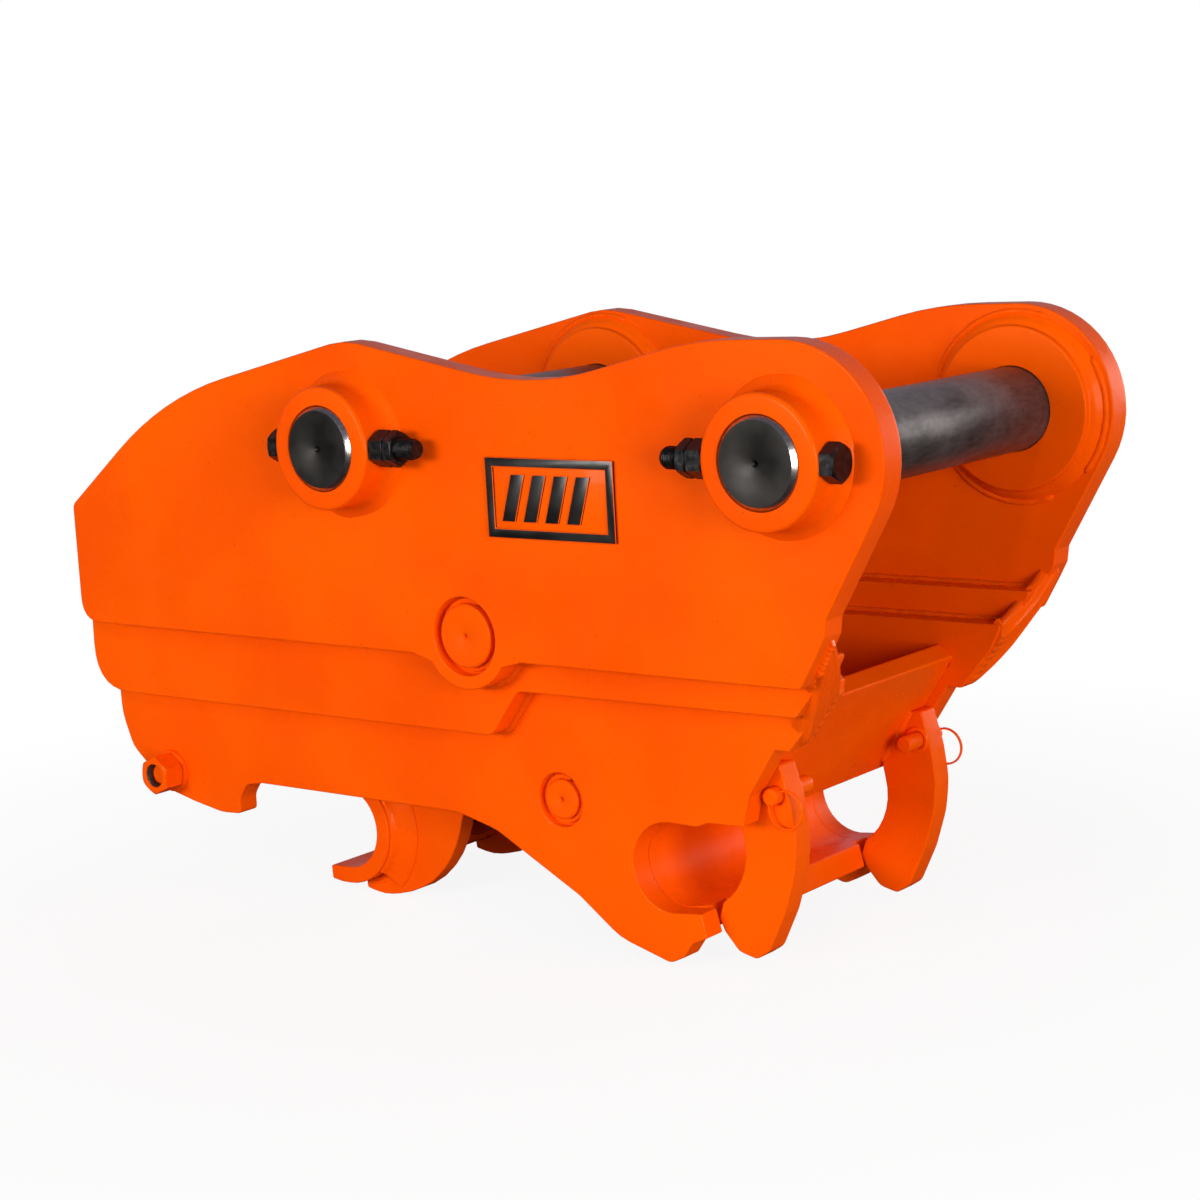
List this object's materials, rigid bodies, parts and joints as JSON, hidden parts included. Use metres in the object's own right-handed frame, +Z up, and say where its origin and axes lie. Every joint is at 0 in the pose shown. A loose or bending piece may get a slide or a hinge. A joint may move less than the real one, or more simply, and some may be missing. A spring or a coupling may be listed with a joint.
{
  "type": "quick coupler",
  "caption": "Hydraulic quick coupler for an excavator: lapped steel side plates, arm pins, a movable rear hook with a cylinder, and a hinged front jaw gate with claws.",
  "frame": {"origin": "centre of the bounding box, at the level of its lowest point", "axes": "+X towards the fixed front jaw, +Z up, Y across; the near side, with the name plate, is -Y"},
  "size_m": [1.0074, 0.508, 0.5782],
  "materials": {
    "orange_paint": "gloss",
    "pin_steel": "machined, lightly oiled",
    "black_oxide": "black oxide",
    "black_paint": "satin",
    "rod_chrome": "polished",
    "name_plate": "satin"
  },
  "bodies": {
    "frame": {"arm_pin_front": "pin_steel", "arm_pin_rear": "pin_steel", "base_pin": "orange_paint", "bolt_front_far": "black_oxide", "bolt_front_near": "black_oxide", "bolt_rear_far": "black_oxide", "bolt_rear_near": "black_oxide", "circlip_base_pin_far": "orange_paint", "circlip_base_pin_near": "orange_paint", "circlip_hook_pin_far": "orange_paint", "circlip_hook_pin_near": "orange_paint", "collar_front_far": "orange_paint", "collar_front_near": "orange_paint", "collar_rear_far": "orange_paint", "collar_rear_near": "orange_paint", "disc_front_far": "orange_paint", "disc_front_near": "orange_paint", "disc_rear_far": "orange_paint", "disc_rear_near": "orange_paint", "hook_pin": "orange_paint", "jam_nut_front_far": "black_oxide", "jam_nut_front_near": "black_oxide", "jam_nut_rear_far": "black_oxide", "jam_nut_rear_near": "black_oxide", "jaw_seat": "orange_paint", "lower_plate_far": "orange_paint", "lower_plate_near": "orange_paint", "mid_plate_far": "orange_paint", "mid_plate_near": "orange_paint", "name_plate": "name_plate", "nut_front_far": "black_oxide", "nut_front_near": "black_oxide", "nut_rear_far": "black_oxide", "nut_rear_near": "black_oxide", "rear_bridge": "orange_paint", "tie_nut_far": "orange_paint", "tie_nut_near": "orange_paint", "tie_rod": "black_oxide", "tie_washer_far": "orange_paint", "tie_washer_near": "orange_paint", "upper_plate_far": "orange_paint", "upper_plate_near": "orange_paint"},
    "hook": {"hook_cheek_near": "orange_paint", "hook_cheek_far": "orange_paint", "hook_liner": "orange_paint", "hook_tube": "orange_paint", "rod_pin": "black_oxide"},
    "barrel": {"cylinder_barrel": "black_paint"},
    "rod": {"cylinder_rod": "rod_chrome"},
    "gate": {"gate_plate": "orange_paint", "claw_near": "orange_paint", "claw_far": "orange_paint", "gate_stub_near": "orange_paint", "gate_stub_far": "orange_paint"},
    "ring_pin_near": {"ring_pin_near": "orange_paint"},
    "ring_pin_far": {"ring_pin_far": "orange_paint"},
    "ring_near": {"ring_near": "orange_paint"},
    "ring_far": {"ring_far": "orange_paint"}
  },
  "joints": [
    {"name": "hook_hinge", "type": "hinge", "parent": "frame", "child": "hook", "pos_m": [0.04435, 0, 0.3057], "axis": [0, -1, 0], "range_deg": [0, 16]},
    {"name": "barrel_swivel", "type": "hinge", "parent": "frame", "child": "barrel", "pos_m": [0.10435, 0, 0.1457], "axis": [0, -1, 0], "range_deg": [0, 17]},
    {"name": "rod_slide", "type": "slide", "parent": "barrel", "child": "rod", "axis": [0.9722, 0, 0.2342], "range_m": [0, 0.048]},
    {"name": "gate_hinge", "type": "hinge", "parent": "frame", "child": "gate", "pos_m": [0.34237, 0, 0.24326], "axis": [0, -1, 0], "range_deg": [0, 60]},
    {"name": "ring_pin_near_slide", "type": "slide", "parent": "gate", "child": "ring_pin_near", "axis": [0, -1, 0], "range_m": [0, 0.06]},
    {"name": "ring_pin_far_slide", "type": "slide", "parent": "gate", "child": "ring_pin_far", "axis": [0, 1, 0], "range_m": [0, 0.06]},
    {"name": "ring_near_hinge", "type": "hinge", "parent": "ring_pin_near", "child": "ring_near", "pos_m": [0.32935, -0.1379, 0.1687], "axis": [-0.6428, 0, -0.766], "range_deg": [0, 60]},
    {"name": "ring_far_hinge", "type": "hinge", "parent": "ring_pin_far", "child": "ring_far", "pos_m": [0.32935, 0.1379, 0.1687], "axis": [0.6428, 0, 0.766], "range_deg": [0, 60]}
  ],
  "couplings": [
    {"joint": "barrel_swivel", "follows": "hook_hinge", "ratio": 0.99},
    {"joint": "rod_slide", "follows": "hook_hinge", "m_per_rad": 0.17}
  ]
}
